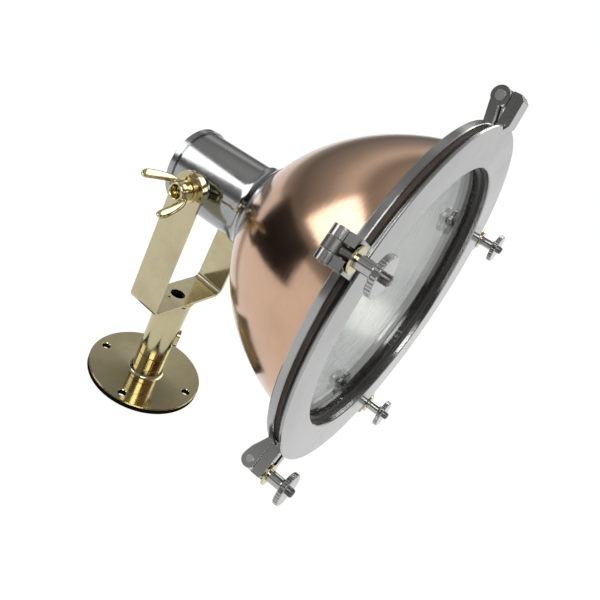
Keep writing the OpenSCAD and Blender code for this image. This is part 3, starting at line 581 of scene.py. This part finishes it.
@dataclass
class WingNut:
    """The cast brass wing nut on the near stud."""

    shop: Workshop
    seat: float = 63.5
    length: float = 17.0
    foot_radius: float = 11.0
    top_radius: float = 9.5
    bore: float = 6.2
    lean: float = -37.0
    rises: tuple[tuple[float, float, float, float], ...] = field(default=(
        (13.5, 13.0, 9.5, 6.2), (17.5, 27.0, 10.5, 4.8), (20.5, 42.0, 12.5, 4.0), (22.0, 52.0, 10.0, 3.8)))

    def hub(self) -> bmesh.types.BMesh:
        """Spins the hub with its bore.

        Returns:
            The hub in sixteen steps.
        """
        low, high = 0.0, self.length
        middle = (self.foot_radius + self.top_radius) / 2
        outline = [(self.bore, low), (self.foot_radius, low), (self.foot_radius, 2.5), (middle, high * 0.3),
                   (middle, high * 0.8), (self.top_radius, high), (self.bore, high)]
        return spun([(radius * MM, height * MM) for radius, height in outline], 16)

    def grow(self, mesh: bmesh.types.BMesh, side: float) -> None:
        """Grows one wing out of the hub's side.

        Args:
            mesh: The hub's mesh.
            side: 1 for the wing toward +X and -1 for the other.
        """
        low, high = self.length * 0.3 * MM, self.length * 0.8 * MM
        faces = []
        for face in mesh.faces:
            spot = face.calc_center_median()
            angle = abs(math.atan2(spot.y, spot.x * side))
            if angle < math.radians(24) and low < spot.z < high and spot.xy.length > 0.009:
                faces.append(face)
        for reach, rise, width, thick in self.rises:
            grown = bmesh.ops.extrude_face_region(mesh, geom=faces)
            bmesh.ops.delete(mesh, geom=faces, context="FACES")
            faces = [item for item in grown["geom"] if isinstance(item, bmesh.types.BMFace)]
            corners = {corner for face in faces for corner in face.verts}
            centre = sum((corner.co for corner in corners), Vector()) / len(corners)
            heights = [corner.co.z for corner in corners]
            breadths = [abs(corner.co.y) for corner in corners]
            tall = max(heights) - min(heights)
            broad = 2 * max(breadths)
            for corner in corners:
                up = (corner.co.z - centre.z) / tall * width * MM
                across = corner.co.y / broad * thick * MM
                corner.co = Vector((side * (reach * MM - up * 0.75), across, rise * MM + up * 0.5))

    def build(self) -> None:
        """Builds the nut and puts it on the near stud."""
        mesh = self.hub()
        for side in (1.0, -1.0):
            self.grow(mesh, side)
        place = (Matrix.Translation((0, -self.seat * MM, PIVOT_HEIGHT)) @ Matrix.Rotation(math.pi / 2, 4, "X")
                 @ Matrix.Rotation(math.radians(self.lean), 4, "Z"))
        self.shop.piece("wing_nut_casting", mesh, place, "wing_nut_right", "pivot_brass", "wing_nut_right", 2)


@dataclass
class Threads:
    """The threads that show at the bolts' ends."""

    shop: Workshop
    bolt_radius: float = 205.0
    core: float = 3.95
    crest: float = 4.35
    pitch: float = 1.25
    start: float = 260.6
    turns: int = 3
    steps: int = 32

    def helix(self, core: float, crest: float) -> bmesh.types.BMesh:
        """Sweeps a thread's ridge round the local Z axis.

        Args:
            core: The radius at the ridge's foot.
            crest: The radius at its crest.

        Returns:
            The closed ridge.
        """
        mesh = bmesh.new()
        half = self.pitch * 0.42
        points = [mesh.verts.new(point) for point in (
            (core * MM, 0, -half * MM), (crest * MM, 0, 0), (core * MM, 0, half * MM))]
        cap = mesh.faces.new(points)
        steps = self.steps * self.turns
        last = bmesh.ops.spin(mesh, geom=[cap], cent=(0, 0, 0), axis=(0, 0, 1), angle=2 * math.pi * self.turns,
                              dvec=(0, 0, self.pitch * self.turns / steps * MM), steps=steps,
                              use_merge=False, use_normal_flip=False, use_duplicate=True)
        LOG.debug("thread ends in %d items", len(last["geom_last"]))
        return mesh

    def build(self) -> None:
        """Builds a thread at the end of each swing bolt."""
        for number in range(1, 5):
            place = clamp_frame(number) @ Matrix.Translation((self.bolt_radius * MM, 0, self.start * MM))
            self.shop.piece(f"bolt_thread_{number}", self.helix(self.core, self.crest), place,
                            f"swing_bolt_{number}", "dark_steel")


@dataclass
class LampInnards:
    """The glass stem, the wires and the filament inside the lamp."""

    shop: Workshop
    foot: float = 52.0
    top: float = 96.0
    filament_height: float = 112.0
    filament_radius: float = 17.0
    wire: float = 0.5

    def rod(self, mesh: bmesh.types.BMesh, start: Vector, end: Vector, radius: float) -> None:
        """Adds a thin rod between two points.

        Args:
            mesh: The mesh that gets the rod.
            start: One end in metres.
            end: The other end in metres.
            radius: The rod's radius in millimetres.
        """
        along = end - start
        turn = along.to_track_quat("Z", "Y").to_matrix().to_4x4()
        place = Matrix.Translation((start + end) / 2) @ turn
        bmesh.ops.create_cone(mesh, cap_ends=True, segments=12, radius1=radius * MM, radius2=radius * MM,
                              depth=along.length, matrix=place)

    def build(self) -> None:
        """Builds the stem, the support wires and the coiled filament."""
        stem = spun([(0.0, self.foot * MM), (0.011, self.foot * MM), (0.006, (self.foot + 10) * MM),
                     (0.0035, (self.foot + 20) * MM), (0.0035, self.top * MM), (0.0048, (self.top + 2) * MM),
                     (0.0, (self.top + 4) * MM)], 32, closed=False)
        self.shop.piece("lamp_stem", stem, LAMP, "head", "lamp_glass")
        wires = bmesh.new()
        hub = Vector((0, 0, self.top * MM))
        ring = [Vector((math.cos(angle) * self.filament_radius, math.sin(angle) * self.filament_radius,
                        self.filament_height)) * MM for angle in (index * math.pi / 4 for index in range(7))]
        for point in ring:
            self.rod(wires, hub, point, self.wire)
        for first, second in zip(ring, ring[1:]):
            self.rod(wires, first, second, self.wire * 1.2)
        self.shop.piece("lamp_filament", wires, LAMP, "head", "steel")


@dataclass
class Stage:
    """The floor, the studio's light and the camera."""

    floor_size: float = 200.0
    floor_drop: float = 0.0004
    lens: float = 37.84
    sensor: float = 36.0
    eye: tuple[float, float, float] = (0.34585, -0.55802, 0.54601)
    right: tuple[float, float, float] = (0.74562928, 0.51322404, 0.42501537)
    down: tuple[float, float, float] = (0.59305226, -0.22026196, -0.77445057)
    ahead: tuple[float, float, float] = (-0.30385193, 0.82950935, -0.46860244)

    def camera(self) -> None:
        """Sets the camera where the photograph was taken from."""
        data = bpy.data.cameras.new("camera")
        data.sensor_width = self.sensor
        data.sensor_fit = "HORIZONTAL"
        data.lens = self.lens
        data.clip_start = 0.01
        made = bpy.data.objects.new("camera", data)
        bpy.context.scene.collection.objects.link(made)
        turn = Matrix((self.right, [-value for value in self.down], [-value for value in self.ahead])).transposed()
        made.matrix_world = Matrix.Translation(self.eye) @ turn.to_4x4()
        bpy.context.scene.camera = made

    def seen_ray(self, graph: Graph) -> Value:
        """Tells the rays that should meet the pale background.

        Args:
            graph: The graph that asks.

        Returns:
            1 for camera, glossy and transmission rays.
        """
        path = graph.node("ShaderNodeLightPath")
        camera, glossy, through = (Value(graph, path.outputs[name])
                                   for name in ("Is Camera Ray", "Is Glossy Ray", "Is Transmission Ray"))
        return (camera + glossy + through).clipped(0.0, 1.0)

    def floor(self) -> None:
        """Lays the pale floor, which keeps the object's shadow."""
        mesh = bmesh.new()
        bmesh.ops.create_grid(mesh, x_segments=1, y_segments=1, size=self.floor_size / 2)
        bmesh.ops.translate(mesh, vec=(0, 0, -self.floor_drop), verts=mesh.verts)
        data = bpy.data.meshes.new("floor")
        mesh.to_mesh(data)
        mesh.free()
        made = bpy.data.objects.new("floor", data)
        bpy.context.scene.collection.objects.link(made)
        material = bpy.data.materials.new("pale_floor")
        material.use_nodes = True
        graph = Graph(material.node_tree)
        matt = graph.node("ShaderNodeBsdfDiffuse", None, {"Color": (0.86, 0.86, 0.85, 1.0)})
        glow = graph.node("ShaderNodeEmission", None, {"Color": (1.0, 1.0, 1.0, 1.0), "Strength": 1.07})
        mixed = graph.node("ShaderNodeMixShader", None,
                           {0: self.seen_ray(graph) * 0.88, 1: matt.outputs[0], 2: glow.outputs[0]})
        graph.node("ShaderNodeOutputMaterial", None, {0: mixed.outputs[0]})
        data.materials.append(material)

    def panel(self, name: str, place: tuple[float, float, float], aim: tuple[float, float, float],
              size: tuple[float, float], colour: float) -> None:
        """Hangs a dark panel out of the camera's sight, which polished metal reflects.

        Args:
            name: The panel's name.
            place: Its centre.
            aim: The point that it faces.
            size: Its width and height.
            colour: How light the painted reflection is.
        """
        mesh = bmesh.new()
        bmesh.ops.create_grid(mesh, x_segments=1, y_segments=1, size=0.5)
        bmesh.ops.scale(mesh, vec=(size[0], size[1], 1.0), verts=mesh.verts)
        turn = (Vector(aim) - Vector(place)).to_track_quat("Z", "Y").to_matrix().to_4x4()
        bmesh.ops.transform(mesh, matrix=Matrix.Translation(place) @ turn, verts=mesh.verts)
        data = bpy.data.meshes.new(name)
        mesh.to_mesh(data)
        mesh.free()
        made = bpy.data.objects.new(name, data)
        bpy.context.scene.collection.objects.link(made)
        material = bpy.data.materials.new(name)
        material.use_nodes = True
        graph = Graph(material.node_tree)
        glow = graph.node("ShaderNodeEmission", None, {"Color": (colour, colour, colour * 0.95, 1.0)})
        graph.node("ShaderNodeOutputMaterial", None, {0: glow.outputs[0]})
        data.materials.append(material)
        # Only glossy rays see the sheet, so it paints a dark reflection and casts no shade or light.
        for ray in ("visible_camera", "visible_diffuse", "visible_shadow", "visible_transmission"):
            setattr(made, ray, False)

    def lamp(self, name: str, place: tuple[float, float, float], aim: tuple[float, float, float],
             size: float, power: float) -> None:
        """Adds one soft light.

        Args:
            name: The light's name.
            place: Its centre.
            aim: The point that it lights.
            size: Its width.
            power: Its power in watts.
        """
        data = bpy.data.lights.new(name, "AREA")
        data.shape = "SQUARE"
        data.size = size
        data.energy = power
        made = bpy.data.objects.new(name, data)
        bpy.context.scene.collection.objects.link(made)
        turn = (Vector(aim) - Vector(place)).to_track_quat("-Z", "Y").to_matrix().to_4x4()
        made.matrix_world = Matrix.Translation(place) @ turn

    def world(self) -> None:
        """Sets a pale studio light. Glossy rays alone see a painted reflection of light and dark bands by height, which
        lights nothing.
        """
        world = bpy.data.worlds.new("studio")
        bpy.context.scene.world = world
        world.use_nodes = True
        graph = Graph(world.node_tree)
        heading = graph.value("ShaderNodeTexCoord", out="Generated")
        side, depth, height = graph.parts(heading)
        upward = (height * 0.5 + 0.5).clipped(0.0, 1.0)
        # Painted reflection: light and dark bands by height that only glossy rays see. Diffuse rays get the plain soft
        # light below.
        painted_band_ramp = graph.value("ShaderNodeValToRGB", {"stops": [
            (0.0, (0.75, 0.74, 0.72)), (0.5, (0.42, 0.41, 0.40)), (0.58, (0.16, 0.155, 0.15)),
            (0.70, (0.40, 0.39, 0.38)), (0.78, (0.85, 0.84, 0.83)), (0.84, (0.30, 0.29, 0.28)),
            (0.93, (0.55, 0.54, 0.53)), (1.0, (0.14, 0.14, 0.14))]}, {0: upward})
        path = graph.node("ShaderNodeLightPath")
        plain = graph.node("ShaderNodeBackground", None, {"Color": (1.0, 1.0, 1.0, 1.0), "Strength": 1.0})
        painted_band_background = graph.node("ShaderNodeBackground", None, {"Color": painted_band_ramp, "Strength": 1.0})
        soft = graph.node("ShaderNodeBackground", None, {"Color": (1.0, 1.0, 1.0, 1.0), "Strength": 0.55})
        gloss = graph.node("ShaderNodeMixShader", None,
                           {0: path.outputs["Is Glossy Ray"], 1: soft.outputs[0], 2: painted_band_background.outputs[0]})
        seen = Value(graph, path.outputs["Is Camera Ray"]) + Value(graph, path.outputs["Is Transmission Ray"])
        mixed = graph.node("ShaderNodeMixShader", None,
                           {0: seen.clipped(0.0, 1.0), 1: gloss.outputs[0], 2: plain.outputs[0]})
        graph.node("ShaderNodeOutputWorld", None, {0: mixed.outputs[0]})
        LOG.debug("world reads %s and %s", side.socket.name, depth.socket.name)

    def build(self) -> None:
        """Builds the whole stage."""
        scene = bpy.context.scene
        scene.view_settings.view_transform = "Standard"
        self.camera()
        self.floor()
        self.world()
        target = (0.1, 0.0, 0.28)
        self.lamp("key", (0.9, -1.1, 1.7), target, 1.1, 26.0)
        self.lamp("fill", (-1.3, -0.9, 1.2), target, 1.0, 10.0)
        self.lamp("rim", (0.3, 1.6, 1.3), target, 1.2, 14.0)
        # Dark sheets seen only in reflections: painted dark reflections on the bowl, can and yoke. The sheet under the
        # base paints shade into the base's screw holes and darkens what the base and post reflect.
        self.panel("rear_painted_reflection", (-0.7, -0.30, 0.20), (0.1, -0.1, 0.25), (0.75, 0.5), 0.02)
        self.panel("hole_shade", (0.0, 0.0, 0.0004), (0.0, 0.0, 1.0), (0.16, 0.16), 0.01)
        self.panel("front_painted_reflection", (0.6, -1.5, 0.7), (0.1, 0.0, 0.3), (0.6, 1.0), 0.05)


def main() -> None:
    """Dresses the lantern, builds its pieces and sets the stage."""
    shop = Workshop()
    Stage().build()
    shop.dress_nodes()
    Bowl(shop).build()
    WingNut(shop).build()
    Threads(shop).build()
    LampInnards(shop).build()


if __name__ == "__main__":
    main()
